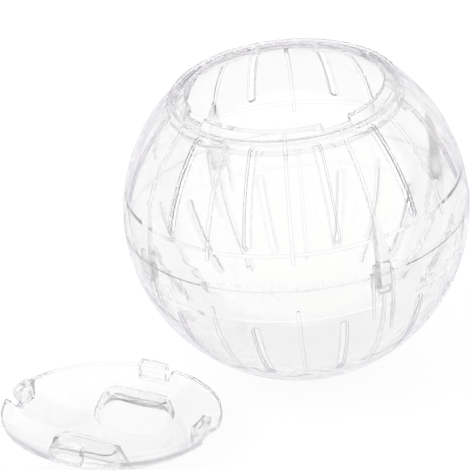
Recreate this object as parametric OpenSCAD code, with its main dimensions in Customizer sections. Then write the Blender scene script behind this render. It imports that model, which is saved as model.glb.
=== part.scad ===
// Clear plastic running ball for a hamster, 140 mm across, with its lid taken off beside it.
// Two moulded half shells snap together at the equator. The upper one has the round mouth that
// the lid closes with a bayonet turn: four hooks drop through four gaps and pass under a ledge.
// The origin is on the floor under the ball's centre, +Z is the ball's axis and -Y its front.

/* [Ball] */
// Outer diameter of the ball
ball_d = 140; // [120:1:180]
// Thickness of the moulded wall
wall = 1.6; // [1.2:0.1:2]
// Extra thickness inside the band on both sides of the seam
band_t = 0.5; // [0.3:0.1:1]
// Length of the slope that leads to the band, along the wall
band_slope = 1.6; // [0.8:0.1:3]
// Height of the band on each side of the seam
band_h = 14; // [12:0.5:16]

/* [Mouth] */
// Inner diameter of the wall that the lid's rim drops into
seat_d = 90.8; // [86:0.2:95]
// Width of the raised lip round the mouth
lip_w = 1; // [0.8:0.1:1.5]
// Height of the lip above the ball's surface at its outer edge
lip_h = 1.1; // [0.6:0.1:1.6]
// Width of the ledge, from that wall inward
ledge_w = 5.8; // [5:0.1:7]
// Thickness of the ledge
ledge_t = 1.8; // [1.2:0.1:2]
// Width of the raised track at the ledge's inner edge
track_w = 3.7; // [2.6:0.1:4]
// Height of that track
track_h = 0.3; // [0.2:0.1:0.5]
// Width of the stops under the ledge, which end the lid's turn
stop_w = 1.6; // [1:0.1:2.4]
// Height of those stops
stop_h = 2; // [1:0.1:3]

/* [Air slots and ribs] */
// Number of air slots in each half, with a rib between each two
slot_n = 12; // [8:4:12]
// Width of a slot at the outside of the wall
slot_w = 3.4; // [2.8:0.1:4]
// Width of a slot inside its step
slot_in_w = 2; // [1.2:0.1:2.4]
// Depth of the step round a slot
slot_step = 0.7; // [0.4:0.1:1]
// Gap from the lip to the upper slots, along the wall
slot_gap = 1.1; // [0.8:0.1:3]
// Length of an upper slot along the wall
slot_l = 40.6; // [20:0.2:41]
// Gap from the seam to the lower slots, along the wall
low_slot_gap = 17.7; // [16:0.1:20]
// Length of a lower slot along the wall
low_slot_l = 35; // [20:0.5:40]
// Width of a rib
rib_w = 1.5; // [1:0.1:2]
// Height of a rib inside the wall
rib_h = 1; // [0.6:0.1:1.4]
// Gap from the lip to the upper ribs, along the wall
rib_gap = 1.6; // [1:0.1:4]
// Length of an upper rib along the wall
rib_l = 47.3; // [20:0.1:48]
// Gap from the seam to the lower ribs, along the wall
low_rib_gap = 10.4; // [8:0.1:14]
// Length of a lower rib along the wall
low_rib_l = 47; // [20:0.5:50]

/* [Snap clips] */
// Width of a clip's block
clip_w = 7.3; // [5:0.1:9]
// Depth of the clip inward at its ridge
clip_t = 3.2; // [2.4:0.1:4]
// Depth of the block's sides
clip_side_t = 1.7; // [1.2:0.1:2.2]
// Reach of the block below the seam
clip_drop = 8.9; // [6:0.1:11]
// Length of the tapering leaf above the seam, along the wall
leaf_l = 27.5; // [20:0.5:32]
// Width of the leaf at the seam
leaf_w = 6.4; // [4:0.1:7]
// Height of the catch at the block's end
catch_h = 2.4; // [1.6:0.1:3]
// Width of the catch
catch_w = 5; // [3:0.1:6]
// Reach of the catch outward from the block
catch_t = 0.8; // [0.5:0.1:0.9]
// Thickness of the walls at the sides of a clip's pocket
pocket_t = 1; // [0.8:0.1:1.4]
// Length of the pocket's longer wall below the seam, along the wall
pocket_l = 31.8; // [20:0.1:36]
// Length of the pocket's shorter wall below the seam, along the wall
pocket_short_l = 23.2; // [18:0.1:30]

/* [Seam] */
// Height of the lap that centres the halves
lap_h = 1.5; // [1:0.1:2]
// Thickness of the lap
lap_t = 1.05; // [0.8:0.05:1.2]
// Size of the small bevel along the seam's outer edges
seam_bevel = 0.25; // [0.1:0.05:0.4]

/* [Lid] */
// Thickness of the lid
lid_wall = 1.5; // [1.2:0.1:1.6]
// Width of a hook
hook_w = 11.8; // [8:0.1:14]
// Thickness of a hook's stem
stem_t = 1.5; // [1:0.1:2]
// Thickness of the hook at its tip
hook_t = 2.6; // [1:0.1:3]
// Reach of the hook under the ledge
hook_reach = 2; // [1.2:0.1:2.4]
// Width of the notch's opening at each side of a hook
notch_side = 0.55; // [0.3:0.05:1.2]
// Distance of the notch's inner edge from the stem's outer face
notch_in = 0.6; // [0.3:0.05:1.2]
// Radius of the notch's inner corners
notch_round = 0.8; // [0.4:0.1:1.2]
// Radius of the rim's corners beside a notch
rim_round = 1.6; // [0.8:0.1:2.4]

/* [Finger recesses] */
// Distance of a recess's middle from the lid's centre
grip_at = 22; // [20:0.5:24]
// Length of a recess's flat bottom
grip_l = 28; // [22:0.5:30]
// Width of a recess's flat bottom
grip_w = 10.5; // [8:0.5:13]
// Flare of the sides over the height of the flat bottom
grip_flare = 3.8; // [2:0.1:6]
// Height of the flat bottom over the lid's inside, at its middle
grip_h = 9; // [6:0.1:10]
// Slope of the flat bottom, rising toward the lid's centre
grip_tilt = 6; // [0:1:10]

/* [Lid beside the ball] */
// Distance from the ball's axis to the lid's centre of curvature
lid_away = 93.9; // [88:0.1:130]
// Direction from the ball to the lid, counted from +X
lid_toward = 218.9; // [200:0.1:240]
// Turn of the lid about its own axis
lid_turn = 67; // [0:0.1:90]
// Rock of the lid on its round underside
lid_rock = 6.5; // [0:0.1:9]
// Direction of the low side, counted from +X
lid_low_side = 34; // [0:0.1:360]

/* [Clearances] */
// Gap between the lid and the ledge that it lies on
seat_gap = 0.1; // [0.05:0.05:0.3]
// Gap between the lid's rim and the wall round it
rim_gap = 1.4; // [0.4:0.1:1.8]
// Running gap round a hook
hook_gap = 0.3; // [0.2:0.05:0.5]
// Gap round a clip in its pocket
clip_gap = 0.3; // [0.2:0.05:0.4]
// Gap at the sides of the lap
lap_gap = 0.15; // [0.1:0.05:0.2]

/* [Hidden] */
$fn = 144;
overrun = 0.5;
round_n = 6;
// Share of a rim corner's radius that lies inside the rim, which its arc crosses at a slight angle
corner_share = 0.95;
clear_colour = [0.86, 0.87, 0.9, 0.45];

// Radii counted from the centre of the ball, where R is a sphere and r is a distance to the axis
ball_R = ball_d / 2;
inner_R = ball_R - wall;
band_R = inner_R - band_t;
seat_r = seat_d / 2;
lip_r = seat_r + lip_w;
ledge_r = seat_r - ledge_w;
track_r = ledge_r + track_w;
track_R = ball_R - lid_wall - seat_gap;
floor_R = track_R - track_h;
under_R = track_R - ledge_t;
root_r = lip_r + lip_w / 2;
lip_z = height(ball_R, lip_r) + lip_h;
lap_r = band_R + lap_t;

// Angles from the mouth's axis, along the ball's outer surface
lip_a = asin(lip_r / ball_R);
band_a = acos(band_h / ball_R);
slope_a = band_a - arc_a(band_slope);

// Where the clips, and the gaps above them, stand round the ball
clip_n = 4;
clip_share = 1 / slot_n;

// The hooks, as they hang below the closed lid
stem_r = ledge_r - hook_gap - hook_gap / 3;
hook_r = stem_r + hook_reach + hook_gap;
hook_R = under_R - hook_gap;
hook_z = height(hook_R, hook_r) - hook_t;
gap_r = hook_r + hook_gap;
gap_w = hook_w + 2 * hook_gap;
lid_r = seat_r - rim_gap;
lid_R = ball_R - lid_wall;

function height(R, r) = sqrt(R * R - r * r);
function arc_a(length) = length / ball_R * 180 / PI;
function along(R, a) = [R * sin(a), R * cos(a)];

// Lifts the ball's centre to its height over the floor
module over_floor() {
    translate([0, 0, ball_R]) children();
}

// Turns a shape that points to +X so that it points to an angle from the ball's front
module at_front_angle(a) {
    rotate([0, 0, a - 90]) children();
}

// Flat ring between two radii, seen in a plane through the ball's axis
module ring(r0, r1) {
    difference() {
        circle(r1);
        circle(r0);
    }
}

// Part of that plane between two distances from the axis, above the equator
module columns(r0, r1) {
    translate([r0, 0]) square([r1 - r0, 2 * ball_R]);
}

// Part of that plane between two angles from the axis
module wedge(a0, a1) {
    far = 2 * ball_R;
    polygon([[0, 0], along(far, a0), along(far, (a0 + a1) / 2), along(far, a1)]);
}

// Section of the thicker band above the seam, with the slope that leads to it
module band_section() {
    intersection() {
        ring(band_R, ball_R);
        wedge(band_a, 90);
    }
    polygon([
        along(inner_R + band_t, slope_a), along(inner_R, slope_a), along(band_R, band_a),
        along(inner_R + band_t, band_a)]);
}

// Corner that the bevel along the seam takes off above the equator
module seam_corner() {
    polygon([
        [ball_R - seam_bevel, -seam_bevel], [ball_R - seam_bevel, 0], [ball_R + seam_bevel, 2 * seam_bevel],
        [ball_R + seam_bevel, -seam_bevel]]);
}

// Bar that follows the wall between two angles, with round ends, pointing to +X
module wall_bar(w, R0, R1, a0, a1) {
    end_a = arc_a(w / 2);
    rotate([90, 0, 0]) linear_extrude(w, center = true) intersection() {
        ring(R0, R1);
        wedge(a0 + end_a, a1 - end_a);
    }
    for (a = [a0 + end_a, a1 - end_a])
        rotate([0, a, 0]) translate([0, 0, R0]) cylinder(h = R1 - R0, d = w);
}

// Cutters for one half's air slots, each with a step round it in the outside of the wall
module slots(a0, a1) {
    step_a = arc_a((slot_w - slot_in_w) / 2);
    difference() {
        at_slots() wall_bar(slot_w, inner_R, ball_R + overrun, a0, a1);
        sphere(ball_R - slot_step);
    }
    at_slots() wall_bar(slot_in_w, inner_R - overrun, ball_R, a0 + step_a, a1 - step_a);
}

// Stands its children at the air slots
module at_slots() {
    for (i = [0 : slot_n - 1])
        at_front_angle((i + 0.5) * 360 / slot_n) children();
}

// One half's ribs, let into the wall
module ribs(a0, a1) {
    for (i = [0 : slot_n - 1])
        at_front_angle(i * 360 / slot_n)
            wall_bar(rib_w, inner_R - rib_h, inner_R + wall / 2, a0, a1);
}

// Stands its children at the four clips
module at_clips() {
    for (i = [0 : clip_n - 1])
        at_front_angle((clip_share + i / clip_n) * 360) children();
}

// Leaf of a clip: a roof with two faces, whose ridge runs from the wall down to the seam
module leaf() {
    top_a = 90 - arc_a(leaf_l);
    bottom = lap_h + lap_gap;
    top = along(inner_R, top_a);
    foot = [band_R - clip_t, bottom];
    lean = atan2(top[0] - foot[0], top[1] - foot[1]);
    run = norm(top - foot);
    spread = leaf_w / 2 / clip_t;
    deep = 2 * clip_t;
    intersection() {
        translate([foot[0], 0, foot[1]]) rotate([0, lean, 0]) translate([0, 0, -run]) linear_extrude(3 * run)
            polygon([[0, 0], [deep, -deep * spread], [deep, deep * spread]]);
        translate([0, -2 * leaf_w, bottom]) cube([ball_R, 4 * leaf_w, ball_R]);
        sphere(ball_R - wall / 2);
    }
}

// Outline of the block in plan: a ridge inside, flat sides and a straight back
module block_plan() {
    x = band_R - clip_gap;
    polygon([
        [x - clip_t, 0], [x - clip_side_t, clip_w / 2], [x + wall, clip_w / 2],
        [x + wall, -clip_w / 2], [x - clip_side_t, -clip_w / 2]]);
}

// Block of a clip, which reaches past the seam into the lower half and carries the catch
module block() {
    top = 2 * lap_h;
    intersection() {
        translate([0, 0, -clip_drop]) linear_extrude(clip_drop + top) block_plan();
        sphere(band_R - clip_gap);
        translate([band_R - clip_t - clip_gap, 0, -clip_drop]) rotate([0, -45, 0])
            translate([-clip_side_t / 2, -clip_w, 0]) cube([ball_R, 2 * clip_w, ball_R]);
    }
    intersection() {
        translate([0, 0, lap_h + lap_gap]) linear_extrude(lap_h) block_plan();
        sphere(band_R + band_t);
    }
    intersection() {
        translate([band_R - clip_side_t, -catch_w / 2, -clip_drop])
            cube([clip_side_t + wall, catch_w, catch_h]);
        sphere(band_R - clip_gap + catch_t);
    }
}

// Recess in the lower half's band that the catch snaps into
module catch_recess() {
    intersection() {
        translate([band_R - clip_side_t, -catch_w / 2 - clip_gap, -clip_drop - clip_gap])
            cube([clip_side_t + wall, catch_w + 2 * clip_gap, catch_h + 2 * clip_gap]);
        sphere(band_R + catch_t);
    }
}

// Wall at one side of a clip's pocket: full depth beside the block, then running out along the wall
module pocket_wall(side, length) {
    end_a = 90 + arc_a(length);
    inner_x = band_R - clip_gap - clip_side_t;
    shoulder = -clip_drop - clip_gap;
    end = along(inner_R, end_a);
    foot = along(ball_R, end_a);
    outer = along(ball_R + wall, (90 + end_a) / 2);
    y = clip_w / 2 + clip_gap + pocket_t / 2;
    translate([0, side * y, 0]) rotate([90, 0, 0]) linear_extrude(pocket_t, center = true) intersection() {
        circle(ball_R - wall / 2);
        polygon([[inner_x, -lap_gap], [inner_x, shoulder], end, foot, outer, [ball_R, -lap_gap]]);
    }
}

module upper_shell() {
    slot_a0 = lip_a + arc_a(slot_gap);
    rib_a0 = lip_a + arc_a(rib_gap);
    color(clear_colour) over_floor() {
        difference() {
            union() {
                rotate_extrude() {
                    difference() {
                        union() {
                            intersection() {
                                ring(inner_R, ball_R);
                                columns(seat_r, ball_R);
                            }
                            band_section();
                        }
                        square([lap_r + lap_gap, lap_h + lap_gap]);
                        seam_corner();
                    }
                    intersection() {
                        ring(under_R, ball_R);
                        columns(seat_r, root_r);
                    }
                    translate([seat_r, lip_z - 2 * wall]) square([lip_w, 2 * wall]);
                    intersection() {
                        ring(under_R, track_R);
                        columns(ledge_r, track_r);
                    }
                    intersection() {
                        ring(under_R, floor_R);
                        columns((ledge_r + track_r) / 2, root_r);
                    }
                }
                ribs(rib_a0, rib_a0 + arc_a(rib_l));
            }
            slots(slot_a0, slot_a0 + arc_a(slot_l));
            at_clips() bayonet_gap();
        }
        at_clips() {
            leaf();
            block();
        }
        for (i = [0 : clip_n - 1])
            at_front_angle(i * 360 / clip_n) turn_stop();
    }
}

// Radial stop under the ledge, pointing to +X
module turn_stop() {
    rotate([90, 0, 0]) linear_extrude(stop_w, center = true) intersection() {
        ring(under_R - stop_h, under_R + ledge_t / 2);
        columns(ledge_r + hook_gap, lip_r);
    }
}

// Gap in the ledge that a hook drops through
module bayonet_gap() {
    intersection() {
        cylinder(h = ball_R, r = gap_r);
        translate([ledge_r / 2, -gap_w / 2, 0]) cube([ball_R, gap_w, ball_R]);
    }
}

module lower_shell() {
    slot_a0 = 90 + arc_a(low_slot_gap);
    rib_a0 = 90 + arc_a(low_rib_gap);
    color(clear_colour) over_floor() difference() {
        union() {
            rotate_extrude() {
                mirror([0, 1]) difference() {
                    union() {
                        intersection() {
                            ring(inner_R, ball_R);
                            columns(0, ball_R);
                        }
                        band_section();
                    }
                    seam_corner();
                }
                translate([band_R, -lap_h]) square([lap_t, 2 * lap_h]);
            }
            ribs(rib_a0, rib_a0 + arc_a(low_rib_l));
            at_clips() {
                pocket_wall(1, pocket_l);
                pocket_wall(-1, pocket_short_l);
            }
        }
        slots(slot_a0, slot_a0 + arc_a(low_slot_l));
        at_clips() catch_recess();
    }
}

// Frustum with two round ends and straight sides, upright on its wider end
module long_frustum(w0, w1, span, h) {
    for (s = [-1, 1])
        translate([0, s * span / 2, 0]) cylinder(h = h, d1 = w0, d2 = w1);
    rotate([90, 0, 0]) linear_extrude(span, center = true)
        polygon([[-w0 / 2, 0], [-w1 / 2, h], [w1 / 2, h], [w0 / 2, 0]]);
}

// Body of one finger recess, wider by t on every side; it stands up inside the lid
module grip(t) {
    span = grip_l - grip_w;
    deep = grip_h + 3 * lid_wall;
    flare = grip_flare * deep / grip_h;
    sink = height(lid_R, grip_at) + lid_wall - t;
    w = grip_w - 2 * (lid_wall - t);
    translate([grip_at, 0, -sink]) rotate([0, grip_tilt, 0]) translate([0, 0, grip_h - deep])
        long_frustum(w + 2 * flare, w, span, deep);
}

// One hook on its stem, standing up in the open lid and pointing to +X
module hook() {
    intersection() {
        rotate_extrude() mirror([0, 1]) {
            intersection() {
                ring(0, lid_R + lid_wall / 2);
                translate([stem_r - stem_t, hook_z]) square([stem_t, ball_R]);
            }
            intersection() {
                ring(0, hook_R);
                translate([stem_r - stem_t, hook_z]) square([hook_r - stem_r + stem_t, ball_R]);
            }
        }
        translate([0, -hook_w / 2, -ball_R]) cube([ball_R, hook_w, ball_R]);
    }
}

// Points of a round corner, as seen along the axis
function arc_points(centre, r, a0, a1) =
    [for (i = [0 : round_n]) let (a = a0 + (a1 - a0) * i / round_n) centre + r * [cos(a), sin(a)]];

// Notch in the rim that leaves a hook's stem free on three sides, with rounded corners
module hook_notch() {
    half = hook_w / 2 + notch_side;
    root = [stem_r + notch_in + notch_round, half - notch_round];
    rim = [height(lid_r - corner_share * rim_round, half + rim_round), half + rim_round];
    rim_a = atan2(rim[1], rim[0]);
    side = concat(
        arc_points(root, notch_round, 180, 90), arc_points(rim, rim_round, -90, rim_a),
        [ball_R * [cos(rim_a), sin(rim_a)]]);
    other_side = [for (i = [len(side) - 1 : -1 : 0]) [side[i][0], -side[i][1]]];
    translate([0, 0, -ball_R - overrun]) linear_extrude(ball_R) polygon(concat(side, other_side));
}

// The lid as it lies open, hollow side up, with its centre of curvature at the origin
module lid_shape() {
    difference() {
        union() {
            rotate_extrude() mirror([0, 1]) intersection() {
                ring(lid_R, ball_R);
                columns(0, lid_r);
            }
            intersection() {
                for (s = [0, 180])
                    rotate([0, 0, s]) grip(lid_wall);
                sphere(ball_R - lid_wall / 2);
            }
        }
        for (s = [0, 180])
            rotate([0, 0, s]) grip(0);
        for (i = [0 : clip_n - 1])
            rotate([0, 0, i * 360 / clip_n]) hook_notch();
    }
    for (i = [0 : clip_n - 1])
        rotate([0, 0, i * 360 / clip_n]) hook();
}

module lid() {
    color(clear_colour) over_floor() rotate([0, 0, lid_toward]) translate([lid_away, 0, 0])
        rotate([0, 0, lid_low_side - lid_toward]) rotate([0, lid_rock, 0])
            rotate([0, 0, lid_turn - lid_low_side]) lid_shape();
}

upper_shell();
lower_shell();
lid();
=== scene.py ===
"""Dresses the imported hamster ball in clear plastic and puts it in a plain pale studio."""
import math

import bmesh
import bpy
from bpy.props import FloatProperty, FloatVectorProperty, PointerProperty
from mathutils import Matrix, Vector


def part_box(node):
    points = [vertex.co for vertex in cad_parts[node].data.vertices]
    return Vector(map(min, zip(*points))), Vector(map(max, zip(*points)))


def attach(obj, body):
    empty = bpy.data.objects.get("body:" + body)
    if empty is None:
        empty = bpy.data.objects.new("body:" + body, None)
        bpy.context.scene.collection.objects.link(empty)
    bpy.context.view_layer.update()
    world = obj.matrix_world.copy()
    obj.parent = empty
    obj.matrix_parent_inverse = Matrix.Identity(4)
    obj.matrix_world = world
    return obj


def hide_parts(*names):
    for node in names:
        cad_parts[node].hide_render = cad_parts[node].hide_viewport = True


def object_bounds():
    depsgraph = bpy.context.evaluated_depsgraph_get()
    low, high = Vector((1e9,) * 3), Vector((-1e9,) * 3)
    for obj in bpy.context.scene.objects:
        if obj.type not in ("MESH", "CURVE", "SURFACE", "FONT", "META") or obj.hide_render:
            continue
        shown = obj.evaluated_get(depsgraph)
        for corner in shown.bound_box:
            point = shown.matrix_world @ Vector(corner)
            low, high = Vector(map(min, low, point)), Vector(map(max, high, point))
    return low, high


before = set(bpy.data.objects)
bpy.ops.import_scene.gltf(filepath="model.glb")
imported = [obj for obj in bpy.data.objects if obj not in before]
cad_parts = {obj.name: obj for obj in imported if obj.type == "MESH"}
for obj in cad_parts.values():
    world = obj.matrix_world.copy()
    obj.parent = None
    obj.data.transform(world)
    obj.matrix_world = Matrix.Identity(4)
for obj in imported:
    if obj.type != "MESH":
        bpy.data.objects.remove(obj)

CAD_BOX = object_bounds()
PHOTO_SIZE = 470

bl_info = {
    "name": "Hamster ball",
    "version": (1, 0, 0),
    "blender": (4, 5, 0),
    "location": "View3D > Sidebar > Hamster ball",
    "description": "Clear plastic finishes and a pale studio for a hamster ball",
    "category": "Object",
}

MM = 0.001
WELD = MM / 1000
NO_LENGTH = MM / 10000
CLIP_MARK = "clip"
LAP_MARK = "lap"
MIX_A, MIX_B, MIX_COLOUR = 6, 7, 2
NOISE_MIDDLE = 0.5
DRIFT_FROM, DRIFT_TO = 0.4, 0.6
CLOUD_FLOOR = 0.5
CLIP_CLOUD_FLOOR = 0.4
SHIFT_SHELLS = (0, 0, 0)
SHIFT_LID = (0.3, 0.1, 0.2)
WHITE = (1, 1, 1)
PAPER_GREY = (0.89, 0.89, 0.89)
PAPER_PALE = (0.9, 0.9, 0.9)
TENT_DARK_SIDE = Vector((0.25, -1, 0.45))
TENT_TURNS_FROM = -0.3
BOUNCES = 96
STRAIGHT_BOUNCES = 64
LAMPS = (
    ("key_light", "key", (-0.9, -0.35, 0.95), 0.8),
    ("fill_light", "fill", (1.0, -0.5, 0.8), 0.6),
    ("back_light", "back", (0.1, 1.0, 0.9), 0.7),
)
BALL_LOW, BALL_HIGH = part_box("lower_shell")
BALL_RADIUS = (BALL_HIGH.x - BALL_LOW.x) / 2
BALL_CENTRE = Vector((0, 0, BALL_LOW.z + BALL_RADIUS))


class ClearPlasticSettings(bpy.types.PropertyGroup):
    """Sizes and colours of the clear mouldings."""

    rose_tint: FloatVectorProperty(
        name="Rose tint", description="Colour that a polished wall lets through in some places",
        subtype="COLOR", size=3, min=0, max=1, default=(0.9985, 0.9935, 0.9965))
    cream_tint: FloatVectorProperty(
        name="Cream tint", description="Colour that a polished wall lets through in other places",
        subtype="COLOR", size=3, min=0, max=1, default=(0.9985, 0.997, 0.9915))
    index: FloatProperty(
        name="Index", description="Refractive index of the plastic", default=1.46, min=1, max=2)
    tint: FloatVectorProperty(
        name="Haze tint", description="Colour of the plastic's faint haze", subtype="COLOR", size=3,
        min=0, max=1, default=(0.97, 0.965, 0.98))
    haze: FloatProperty(
        name="Haze", description="Share of light that each surface scatters", subtype="FACTOR",
        default=0.012, min=0, max=1)
    leak: FloatProperty(
        name="Leak", description="Share of light that passes each surface unbent", subtype="FACTOR",
        default=0.06, min=0, max=1)
    clip_haze: FloatProperty(
        name="Clip haze", description="Share of light that the textured snap clips scatter",
        subtype="FACTOR", default=0.25, min=0, max=1)
    frost: FloatProperty(
        name="Haze roughness", description="Roughness of the share of light that is scattered",
        subtype="FACTOR", default=0.5, min=0, max=1)
    depth_tint: FloatVectorProperty(
        name="Depth tint", description="Colour that thick plastic turns towards", subtype="COLOR",
        size=3, min=0, max=1, default=(0.72, 0.69, 0.74))
    absorption: FloatProperty(
        name="Absorption", description="How much light a metre of plastic takes out", default=2,
        min=0, max=500)
    # Painted shade: this tint darkens faces seen edge on, in place of the light that they bend
    # away.
    edge_shade_tint: FloatVectorProperty(
        name="Edge shade", description="Colour of a face seen edge on, which bends the light away",
        subtype="COLOR", size=3, min=0, max=1, default=(0.92, 0.905, 0.945))
    edge_power: FloatProperty(
        name="Edge width", description="Higher values keep the darker edges narrower", default=8,
        min=1, max=20)
    edge_round: FloatProperty(
        name="Edge rounding", description="Radius of the thin bead that a rounded edge shows",
        subtype="DISTANCE", default=0.13 * MM, min=0, max=MM)
    fine_round: FloatProperty(
        name="Fine edge rounding", description="Radius of the bead along the seam and the band",
        subtype="DISTANCE", default=0.15 * MM, min=0, max=MM)
    edge_sharp: FloatProperty(
        name="Edge angle", description="Least angle between the two faces of a rounded edge",
        subtype="ANGLE", default=math.radians(26), min=0, max=math.pi)
    edge_soft: FloatProperty(
        name="Fine edge angle", description="Least angle between the two faces of a fine edge",
        subtype="ANGLE", default=math.radians(15.5), min=0, max=math.pi)
    bead_depth: FloatProperty(
        name="Bead depth", description="Depth of the beads under the surface", subtype="DISTANCE",
        default=0.03 * MM, min=0, max=MM)
    flow: FloatProperty(
        name="Flow marks", description="Height of the shells' flow marks, as a share of the ripple",
        default=0.3, min=0, max=5)
    flow_width: FloatProperty(
        name="Flow mark width", description="Share of the waves' height that a flow mark spans",
        default=0.08, min=0.001, max=0.5)
    flow_top: FloatProperty(
        name="Flow mark top", description="Height over the seam where the flow marks end",
        subtype="DISTANCE", default=25 * MM, min=0, max=0.1)
    clip_angle: FloatProperty(
        name="Clip angle", description="Turn of the first snap clip from the ball's front",
        subtype="ANGLE", default=math.radians(30), min=0, max=math.pi)
    clip_half_angle: FloatProperty(
        name="Clip half width", description="Angle from a clip's middle to its side",
        subtype="ANGLE", default=math.radians(5), min=0, max=math.pi)
    clip_depth: FloatProperty(
        name="Clip depth", description="Least depth of a clip's faces under the ball's surface",
        subtype="DISTANCE", default=2.3 * MM, min=0, max=0.01)
    clip_below: FloatProperty(
        name="Clip foot", description="Reach of the clips below the seam", subtype="DISTANCE",
        default=30 * MM, min=0, max=0.1)
    clip_above: FloatProperty(
        name="Clip top", description="Reach of the clips above the seam", subtype="DISTANCE",
        default=30 * MM, min=0, max=0.1)
    smooth_angle: FloatProperty(
        name="Smooth angle", description="Greatest angle between two faces that are shaded as one",
        subtype="ANGLE", default=math.radians(28), min=0, max=math.pi)
    round_upright: FloatProperty(
        name="Round upright", description="Least upright share of a round wall's normal",
        subtype="FACTOR", default=0.9, min=0, max=1)
    round_play: FloatProperty(
        name="Round play", description="Play in the corners' distances over a round wall's face",
        subtype="DISTANCE", default=0.01 * MM, min=0, max=MM)
    seam_zone: FloatProperty(
        name="Seam zone", description="Height over and under the seam within which the halves lap",
        subtype="DISTANCE", default=2.5 * MM, min=0, max=0.01)
    seam_depth: FloatProperty(
        name="Seam depth", description="Depth down to which the seam's own edges show a bead",
        subtype="DISTANCE", default=0.1 * MM, min=0, max=0.01)
    lap_outer: FloatProperty(
        name="Lap's outer side", description="Depth at which the halves' touching faces begin",
        subtype="DISTANCE", default=0.2 * MM, min=0, max=0.01)
    lap_inner: FloatProperty(
        name="Lap's inner side", description="Depth at which the halves' touching faces end",
        subtype="DISTANCE", default=2.05 * MM, min=0, max=0.01)
    # Painted shade: the beads along rounded edges dim what lies behind them with this tint, in
    # place of the light that the rounded edges bend away.
    bead_shade_tint: FloatVectorProperty(
        name="Bead shade", description="Colour that a rounded edge takes from what lies behind it",
        subtype="COLOR", size=3, min=0, max=1, default=(0.965, 0.96, 0.972))
    gloss: FloatProperty(
        name="Bead gloss", description="Share of light that a rounded edge mirrors",
        subtype="FACTOR", default=0.03, min=0, max=1)
    polish: FloatProperty(
        name="Roughness", description="Roughness of the polished walls", subtype="FACTOR",
        default=0.04, min=0, max=1)
    clouding: FloatProperty(
        name="Clouding", description="Roughness that clouded scuffs add to the walls",
        subtype="FACTOR", default=0.04, min=0, max=1)
    cloud_scale: FloatProperty(
        name="Cloud scale", description="Clouds of haze to a metre", default=55, min=1, max=1000)
    drift_scale: FloatProperty(
        name="Drift scale", description="Changes between the two tints to a metre", default=22,
        min=1, max=1000)
    shell_scuffs: FloatProperty(
        name="Shell scuffs", description="Fine scuffs to a metre on the shells", default=900,
        min=1, max=10000)
    lid_scuffs: FloatProperty(
        name="Lid scuffs", description="Fine scuffs to a metre on the lid", default=1100, min=1,
        max=10000)
    bead_clouds: FloatProperty(
        name="Bead clouds", description="Changes of a rounded edge to a metre", default=160, min=1,
        max=1000)
    bead_clear: FloatProperty(
        name="Bead's clear share", description="Greatest share of a rounded edge without its tint",
        subtype="FACTOR", default=0.35, min=0, max=1)
    bead_rough: FloatProperty(
        name="Bead roughness", description="Roughness of a rounded edge's gloss", subtype="FACTOR",
        default=0.2, min=0, max=1)
    ripple: FloatProperty(
        name="Ripple", description="Height of the moulding's slow waves", subtype="DISTANCE",
        default=0.08 * MM, min=0, max=MM)
    ripple_length: FloatProperty(
        name="Ripple length", description="Length of the moulding's slow waves", subtype="DISTANCE",
        default=14 * MM, min=MM, max=0.1)


class ViewSettings(bpy.types.PropertyGroup):
    """Where the camera stands, and how the photograph frames the ball."""

    distance: FloatProperty(
        name="Distance", description="From the ball's centre to the camera", subtype="DISTANCE",
        default=1.5, min=0.3, max=10)
    elevation: FloatProperty(
        name="Elevation", description="Height of the camera over the ball's centre",
        subtype="ANGLE", default=math.radians(27.83), min=0, max=math.pi / 2)
    azimuth: FloatProperty(
        name="Azimuth", description="Turn of the camera round the ball from its front",
        subtype="ANGLE", default=math.radians(2.7), min=-math.pi, max=math.pi)
    roll: FloatProperty(
        name="Roll", description="Turn of the picture about the line of sight", subtype="ANGLE",
        default=math.radians(5.55), min=-1, max=1)
    pixels_per_mm: FloatProperty(
        name="Picture scale", description="Pixels for a millimetre at the ball's centre",
        default=2.47, min=0.1, max=20)
    centre_px_x: FloatProperty(
        name="Centre across", description="Place of the ball's centre in the picture from the left",
        default=296.2, min=0, max=PHOTO_SIZE)
    centre_px_y: FloatProperty(
        name="Centre down", description="Place of the ball's centre in the picture from the top",
        default=207.4, min=0, max=PHOTO_SIZE)


class StudioSettings(bpy.types.PropertyGroup):
    """The floor and the lights."""

    floor_size: FloatProperty(
        name="Floor", description="Length of the floor's sides", subtype="DISTANCE", default=8,
        min=1, max=50)
    floor_grain: FloatProperty(
        name="Floor grain", description="Changes of the floor's grey to a metre", default=40,
        min=1, max=1000)
    floor_white: FloatProperty(
        name="Floor's own white", description="Share of plain white in what the floor shows",
        subtype="FACTOR", default=0.92, min=0, max=1)
    dome: FloatProperty(
        name="Dome", description="Brightness of the room's light", default=1.0, min=0, max=10)
    tent: FloatProperty(
        name="Tent", description="Brightness of the pale tent that the plastic shows", default=1.0,
        min=0, max=10)
    tent_dark: FloatProperty(
        name="Tent's open side", description="Share of the tent's brightness left at its open side",
        subtype="FACTOR", default=0.95, min=0, max=1)
    key: FloatProperty(
        name="Key light", description="Power of the large light at the left", subtype="POWER",
        default=9, min=0, max=1000)
    fill: FloatProperty(
        name="Fill light", description="Power of the light at the right", subtype="POWER",
        default=5, min=0, max=1000)
    back: FloatProperty(
        name="Back light", description="Power of the light over the back", subtype="POWER",
        default=4, min=0, max=1000)


class Wire:
    """An output in a shader, on which Python's arithmetic adds Math nodes."""

    def __init__(self, shader, socket):
        self.shader = shader
        self.socket = socket

    def _math(self, operation, first, second):
        return self.shader.node("ShaderNodeMath", {"operation": operation}, {0: first, 1: second})

    def __add__(self, other):
        return self._math("ADD", self, other)

    __radd__ = __add__

    def __sub__(self, other):
        return self._math("SUBTRACT", self, other)

    def __rsub__(self, other):
        return self._math("SUBTRACT", other, self)

    def __mul__(self, other):
        return self._math("MULTIPLY", self, other)

    __rmul__ = __mul__

    def __pow__(self, power):
        return self._math("POWER", self, power)


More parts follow.
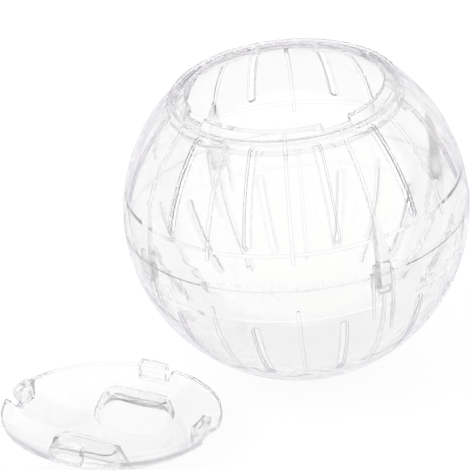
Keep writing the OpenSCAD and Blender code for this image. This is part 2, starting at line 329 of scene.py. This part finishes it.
class Shader:
    """A material or a world with an empty node tree, whose nodes all come from one method."""

    def __init__(self, owner):
        self.owner = owner
        owner.use_nodes = True
        self.tree = owner.node_tree
        self.tree.nodes.clear()

    def node(self, kind, settings=None, values=None, output=0):
        """Adds a node, sets it up, fills its sockets and returns one of its outputs."""
        made = self.tree.nodes.new(kind)
        for name, value in (settings or {}).items():
            setattr(made, name, value)
        for name, value in (values or {}).items():
            if isinstance(value, Wire):
                self.tree.links.new(value.socket, made.inputs[name])
            else:
                made.inputs[name].default_value = value
        return Wire(self, made.outputs[output]) if made.outputs else made

    def noise(self, place, scale, detail, roughness=0.5):
        """Noise over a surface, as a number from 0 to 1."""
        return self.node("ShaderNodeTexNoise", values={
            "Vector": place, "Scale": scale, "Detail": detail, "Roughness": roughness})

    def ramp(self, value, start, end, first=0, last=1):
        """Turns smoothly from the first number to the last while a value goes from start to end."""
        return self.node("ShaderNodeMapRange", {"interpolation_type": "SMOOTHSTEP"}, {
            "Value": value, "From Min": start, "From Max": end, "To Min": first, "To Max": last})

    def clear(self, colour):
        """A surface that light passes straight, and that colours it."""
        return self.node("ShaderNodeBsdfTransparent", values={"Color": (*colour, 1)})

    def mix(self, share, first, second):
        """A surface that is a share of the second one, and otherwise the first."""
        return self.node("ShaderNodeMixShader", values={0: share, 1: first, 2: second})

    def mix_colours(self, share, first, second):
        """A colour that is a share of the second one, and otherwise the first."""
        return self.node(
            "ShaderNodeMix", {"data_type": "RGBA"},
            {0: share, MIX_A: (*first, 1), MIX_B: (*second, 1)}, output=MIX_COLOUR)

    def ray_is(self, *kinds):
        """Whether a ray is of one of some kinds, as 1 or 0."""
        found = 0
        for kind in kinds:
            ray = self.node("ShaderNodeLightPath", output=f"Is {kind} Ray")
            found = self.node("ShaderNodeMath", {"operation": "MAXIMUM"}, {0: found, 1: ray})
        return found


def flow_marks(shader, place, waves, look):
    """Thin curved creases along the waves' middle height, from the seam's band downwards."""
    off_middle = shader.node("ShaderNodeMath", {"operation": "ABSOLUTE"}, {0: waves - NOISE_MIDDLE})
    crease = shader.ramp(off_middle, 0, look.flow_width, 1, 0)
    height = shader.node("ShaderNodeSeparateXYZ", values={"Vector": place}, output="Z")
    low = shader.ramp(height, BALL_CENTRE.z, BALL_CENTRE.z + look.flow_top, 1, 0)
    return crease * low


def clear_plastic(name, look, scuff_scale, shift, flow):
    """Polished clear plastic that bends light, with ripples, creases, tints, haze, scuffs and
    painted shade on faces seen edge on.

    The marked clips are hazier, and the marked faces of the closed lap let light pass straight.
    """
    shader = Shader(bpy.data.materials.new(name))
    place = shader.node("ShaderNodeTexCoord", output="Object")
    shifted = shader.node("ShaderNodeMapping", values={"Vector": place, "Location": shift})
    waves = shader.noise(shifted, 1 / look.ripple_length, detail=1)
    clouds = shader.noise(shifted, look.cloud_scale, detail=3)
    scuffs = shader.noise(shifted, scuff_scale, detail=4, roughness=0.7)
    relief = shader.node("ShaderNodeBump", values={
        "Height": waves + flow * flow_marks(shader, place, waves, look), "Distance": look.ripple,
        "Strength": 1.0})
    facing = shader.node("ShaderNodeLayerWeight", values={"Blend": 0.5}, output="Facing")
    drift = shader.ramp(shader.noise(shifted, look.drift_scale, detail=1), DRIFT_FROM, DRIFT_TO)
    cast = shader.mix_colours(drift, look.rose_tint, look.cream_tint)
    glass = shader.node("ShaderNodeBsdfPrincipled", values={
        "Base Color": cast, "Transmission Weight": 1.0, "IOR": look.index,
        "Roughness": look.polish + look.clouding * clouds * scuffs, "Normal": relief})
    # Painted shade: faces seen edge on let light through the darker edge tint instead of bending
    # it.
    through = shader.mix(facing ** look.edge_power, glass, shader.clear(look.edge_shade_tint))
    frosted = shader.node("ShaderNodeBsdfGlass", values={
        "Color": (*look.tint, 1), "Roughness": look.frost, "IOR": look.index})
    clip = shader.node("ShaderNodeAttribute", {"attribute_name": CLIP_MARK}, output="Fac")
    clip_haze = look.clip_haze * clip * (CLIP_CLOUD_FLOOR + clouds)
    haze = look.haze * (CLOUD_FLOOR + clouds) + clip_haze
    wall = shader.mix(haze, through, frosted)
    lap = shader.node("ShaderNodeAttribute", {"attribute_name": LAP_MARK}, output="Fac")
    open_share = look.leak + (1 - look.leak) * lap
    surface = shader.mix(open_share, wall, shader.clear(WHITE))
    depth = shader.node("ShaderNodeVolumeAbsorption", values={
        "Color": (*look.depth_tint, 1), "Density": look.absorption})
    shader.node("ShaderNodeOutputMaterial", values={"Surface": surface, "Volume": depth})
    return shader.owner


def edge_bead_shade_and_gloss(name, look):
    """The plastic of a rounded edge's bead, whose painted shade dims what lies behind it a little,
    and which shines.
    """
    shader = Shader(bpy.data.materials.new(name))
    place = shader.node("ShaderNodeTexCoord", output="Object")
    clouds = shader.noise(place, look.bead_clouds, detail=2)
    # Painted shade: the bead dims what lies behind it, except for a clouded share.
    through = shader.mix(
        look.bead_clear * clouds, shader.clear(look.bead_shade_tint), shader.clear(WHITE))
    gloss = shader.node(
        "ShaderNodeBsdfGlossy", values={"Color": (*WHITE, 1), "Roughness": look.bead_rough})
    surface = shader.mix(look.gloss * (CLOUD_FLOOR + clouds), through, gloss)
    shader.node("ShaderNodeOutputMaterial", values={"Surface": surface})
    return shader.owner


def merged_copy(node):
    """A bmesh of a CAD solid, whose loose triangles are joined."""
    shape = bmesh.new()
    shape.from_mesh(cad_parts[node].data)
    bmesh.ops.remove_doubles(shape, verts=shape.verts, dist=WELD)
    bmesh.ops.dissolve_degenerate(shape, edges=shape.edges, dist=NO_LENGTH)
    return shape


def in_clip(place, look):
    """Whether a place, taken from the ball's centre, is on a snap clip or a wall of its pocket."""
    turn = math.atan2(place.x, -place.y) % (math.pi / 2) - look.clip_angle
    inside = place.length < BALL_RADIUS - look.clip_depth
    beside = abs(turn) < look.clip_half_angle
    return inside and beside and -look.clip_below < place.z < look.clip_above


def mark_faces(shape, look):
    """Marks the faces of the snap clips and their pockets, and those where the halves lap."""
    mark = shape.faces.layers.float.new(CLIP_MARK)
    touching = shape.faces.layers.float.new(LAP_MARK)
    for face in shape.faces:
        place = face.calc_center_median() - BALL_CENTRE
        in_wall = look.lap_outer < BALL_RADIUS - place.xy.length < look.lap_inner
        face[touching] = in_wall and abs(place.z) < look.seam_zone
        face[mark] = in_clip(place, look)


def add_piece(name, shape, body, material):
    """Makes a finished bmesh an object that rides on a body."""
    mesh = bpy.data.meshes.new(name)
    shape.to_mesh(mesh)
    shape.free()
    mesh.materials.append(material)
    piece = bpy.data.objects.new(name, mesh)
    bpy.context.scene.collection.objects.link(piece)
    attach(piece, body)
    return piece


def shade_round_walls(mesh, look):
    """Shades the faces along the ball's round walls as true spheres."""
    normals = []
    for face in mesh.polygons:
        places = [mesh.vertices[corner].co - BALL_CENTRE for corner in face.vertices]
        far = [place.length for place in places]
        upright = face.normal.dot(sum(places, Vector()).normalized())
        if max(far) - min(far) < look.round_play and abs(upright) > look.round_upright:
            normals.extend(math.copysign(1, upright) * place.normalized() for place in places)
        else:
            normals.extend(Vector() for place in places)
    mesh.normals_split_custom_set(normals)


def moulding(name, node, body, look, material):
    """A smooth copy of a CAD solid in its place."""
    shape = merged_copy(node)
    mark_faces(shape, look)
    piece = add_piece(name, shape, body, material)
    piece.data.attributes.remove(piece.data.attributes["custom_normal"])
    piece.data.shade_smooth()
    piece.data.set_sharp_from_angle(angle=look.smooth_angle)
    shade_round_walls(piece.data, look)
    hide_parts(node)
    return piece


def edge_round(edge, look):
    """Radius of the bead that an edge shows, which is zero where it shows none."""
    middle = (edge.verts[0].co + edge.verts[1].co) / 2 - BALL_CENTRE
    if not edge.is_manifold or in_clip(middle, look):
        return 0
    on_ball = middle.length < BALL_RADIUS + MM
    if on_ball and abs(middle.z) < look.seam_zone:
        return look.fine_round if middle.length > BALL_RADIUS - look.seam_depth else 0
    if edge.calc_face_angle() > look.edge_sharp:
        return look.edge_round
    return look.fine_round if edge.calc_face_angle() > look.edge_soft else 0


def add_beads(beads, node, radius, look):
    """Adds thin tubes just inside those edges of a CAD solid that show a bead of one radius."""
    shape = merged_copy(node)
    plain = [e for e in shape.edges if edge_round(e, look) != radius]
    low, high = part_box(node)
    for corner in shape.verts:
        deep = corner.co - corner.normal * (radius + look.bead_depth) * corner.calc_shell_factor()
        corner.co = [min(max(deep[i], low[i] + radius), high[i] - radius) for i in range(3)]
    bmesh.ops.delete(shape, geom=plain, context="EDGES")
    bmesh.ops.delete(shape, geom=shape.faces, context="FACES_ONLY")
    lines = bpy.data.meshes.new(node + "_lines")
    shape.to_mesh(lines)
    shape.free()
    path = bpy.data.objects.new(node + "_lines", lines)
    bpy.context.scene.collection.objects.link(path)
    chosen = {"selected_objects": [path], "selected_editable_objects": [path]}
    with bpy.context.temp_override(active_object=path, object=path, **chosen):
        bpy.ops.object.convert(target="CURVE")
    path.data.bevel_depth = radius
    path.data.bevel_resolution = 0
    beads.from_mesh(path.to_mesh())
    path.to_mesh_clear()
    bpy.data.objects.remove(path)


def rounded_edges(name, node, body, look, material):
    """Fine beads just inside the sharp edges of a CAD solid, which carry painted shade and gloss
    where its rounded edges show lines.
    """
    beads = bmesh.new()
    add_beads(beads, node, look.edge_round, look)
    add_beads(beads, node, look.fine_round, look)
    piece = add_piece(name, beads, body, material)
    piece.data.shade_smooth()
    return piece


class HAMSTERBALL_OT_shells(bpy.types.Operator):
    """Makes the two clear half shells"""

    bl_idname = "hamsterball.shells"
    bl_label = "Half shells"

    def execute(self, context):
        look = context.scene.hamsterball_plastic
        plastic = clear_plastic(
            "clear_shell_plastic", look, look.shell_scuffs, SHIFT_SHELLS, look.flow)
        moulding("upper_half", "upper_shell", "ball", look, plastic)
        moulding("lower_half", "lower_shell", "ball", look, plastic)
        edge = edge_bead_shade_and_gloss("clear_shell_edges", look)
        rounded_edges("upper_half_edges", "upper_shell", "ball", look, edge)
        rounded_edges("lower_half_edges", "lower_shell", "ball", look, edge)
        return {"FINISHED"}


class HAMSTERBALL_OT_lid(bpy.types.Operator):
    """Makes the clear lid that lies beside the ball"""

    bl_idname = "hamsterball.lid"
    bl_label = "Lid"

    def execute(self, context):
        look = context.scene.hamsterball_plastic
        plastic = clear_plastic("clear_lid_plastic", look, look.lid_scuffs, SHIFT_LID, 0)
        moulding("lid_dish", "lid", "lid", look, plastic)
        edge = edge_bead_shade_and_gloss("clear_lid_edges", look)
        rounded_edges("lid_dish_edges", "lid", "lid", look, edge)
        return {"FINISHED"}


class HAMSTERBALL_OT_studio(bpy.types.Operator):
    """Makes the pale floor, the lights and the camera"""

    bl_idname = "hamsterball.studio"
    bl_label = "Studio"

    def execute(self, context):
        studio = context.scene.hamsterball_studio
        make_floor(studio)
        make_world(context.scene, studio)
        for name, power, place, size in LAMPS:
            make_lamp(name, place, size, getattr(studio, power))
        make_camera(context.scene, context.scene.hamsterball_view)
        return {"FINISHED"}


def make_floor(studio):
    """A pale floor that shows mostly its own white, and lets the object's shadow show."""
    shader = Shader(bpy.data.materials.new("pale_floor"))
    place = shader.node("ShaderNodeTexCoord", output="Object")
    grain = shader.noise(place, studio.floor_grain, detail=2)
    paper = shader.mix_colours(grain, PAPER_GREY, PAPER_PALE)
    matte = shader.node("ShaderNodeBsdfDiffuse", values={"Color": paper})
    white = shader.node("ShaderNodeEmission", values={"Color": (*WHITE, 1), "Strength": 1.0})
    seen = shader.ray_is("Camera", "Transmission", "Glossy")
    surface = shader.mix(seen * studio.floor_white, matte, white)
    shader.node("ShaderNodeOutputMaterial", values={"Surface": surface})
    shape = bmesh.new()
    bmesh.ops.create_grid(shape, x_segments=1, y_segments=1, size=studio.floor_size / 2)
    mesh = bpy.data.meshes.new("studio_floor")
    shape.to_mesh(mesh)
    shape.free()
    mesh.materials.append(shader.owner)
    floor = bpy.data.objects.new("studio_floor", mesh)
    bpy.context.scene.collection.objects.link(floor)
    mesh.transform(Matrix.Translation((0, 0, CAD_BOX[0][2])))


def make_world(scene, studio):
    """White to the camera, a pale tent in gloss and through plastic, soft light otherwise."""
    shader = Shader(bpy.data.worlds.new("soft_room"))
    scene.world = shader.owner
    place = shader.node("ShaderNodeTexCoord", output="Generated")
    to_front = shader.node(
        "ShaderNodeVectorMath", {"operation": "DOT_PRODUCT"},
        {0: place, 1: TENT_DARK_SIDE.normalized()}, output="Value")
    tent = shader.ramp(
        to_front, TENT_TURNS_FROM, 1, studio.tent, studio.tent * studio.tent_dark)
    camera_ray = shader.ray_is("Camera")
    shown = shader.ray_is("Glossy", "Transmission")
    unseen = shown * tent + (1 - shown) * studio.dome
    strength = camera_ray + (1 - camera_ray) * unseen
    light = shader.node(
        "ShaderNodeBackground", values={"Color": (*WHITE, 1), "Strength": strength})
    shader.node("ShaderNodeOutputWorld", values={"Surface": light})


def make_lamp(name, place, size, power):
    """A square soft light that looks at the ball's centre."""
    data = bpy.data.lights.new(name, "AREA")
    data.size = size
    data.energy = power
    lamp = bpy.data.objects.new(name, data)
    bpy.context.scene.collection.objects.link(lamp)
    lamp.location = BALL_CENTRE + Vector(place)
    lamp.rotation_euler = (-Vector(place)).to_track_quat("-Z", "Y").to_euler()
    lamp.visible_glossy = False
    lamp.visible_transmission = False


def make_camera(scene, view):
    """Stands the camera where the photograph was taken, and aims it at the picture's middle."""
    focal_px = view.pixels_per_mm * view.distance / MM
    turn = Matrix.Rotation(view.azimuth, 3, "Z")
    back = turn @ Vector((0, -math.cos(view.elevation), math.sin(view.elevation)))
    right = turn @ Vector((1, 0, 0))
    up = back.cross(right)
    roll = Matrix.Rotation(-view.roll, 3, back)
    right, up = roll @ right, roll @ up
    across = (PHOTO_SIZE / 2 - view.centre_px_x) / focal_px
    down = (PHOTO_SIZE / 2 - view.centre_px_y) / focal_px
    ahead = (-back + across * right - down * up).normalized()
    right = ahead.cross(up).normalized()
    up = right.cross(ahead)
    data = bpy.data.cameras.new("photo_camera")
    data.sensor_width = 36
    data.lens = focal_px / PHOTO_SIZE * data.sensor_width
    data.clip_end = 100
    camera = bpy.data.objects.new("photo_camera", data)
    scene.collection.objects.link(camera)
    pose = Matrix((right, up, -ahead)).transposed().to_4x4()
    pose.translation = BALL_CENTRE + back * view.distance
    camera.matrix_world = pose
    scene.camera = camera


class HAMSTERBALL_PT_panel(bpy.types.Panel):
    """Sidebar panel with the settings and one button for each step"""

    bl_idname = "HAMSTERBALL_PT_panel"
    bl_label = "Hamster ball"
    bl_space_type = "VIEW_3D"
    bl_region_type = "UI"
    bl_category = "Hamster ball"

    def draw(self, context):
        for step in STEPS:
            self.layout.operator(step.bl_idname)
        for name, group in SETTINGS.items():
            box = self.layout.box()
            for prop in group.__annotations__:
                box.prop(getattr(context.scene, name), prop)


SETTINGS = {
    "hamsterball_plastic": ClearPlasticSettings,
    "hamsterball_view": ViewSettings,
    "hamsterball_studio": StudioSettings,
}
STEPS = (HAMSTERBALL_OT_shells, HAMSTERBALL_OT_lid, HAMSTERBALL_OT_studio)


def register():
    for group in SETTINGS.values():
        bpy.utils.register_class(group)
    for step in STEPS:
        bpy.utils.register_class(step)
    bpy.utils.register_class(HAMSTERBALL_PT_panel)
    for name, group in SETTINGS.items():
        setattr(bpy.types.Scene, name, PointerProperty(type=group))


def unregister():
    for name in SETTINGS:
        delattr(bpy.types.Scene, name)
    bpy.utils.unregister_class(HAMSTERBALL_PT_panel)
    for step in reversed(STEPS):
        bpy.utils.unregister_class(step)
    for group in reversed(SETTINGS.values()):
        bpy.utils.unregister_class(group)


def main():
    register()
    bpy.context.scene.view_settings.view_transform = "Standard"
    bpy.context.scene.cycles.max_bounces = BOUNCES
    bpy.context.scene.cycles.transmission_bounces = BOUNCES
    bpy.context.scene.cycles.glossy_bounces = BOUNCES
    bpy.context.scene.cycles.transparent_max_bounces = STRAIGHT_BOUNCES
    bpy.ops.hamsterball.shells()
    bpy.ops.hamsterball.lid()
    bpy.ops.hamsterball.studio()


if __name__ == "__main__":
    main()
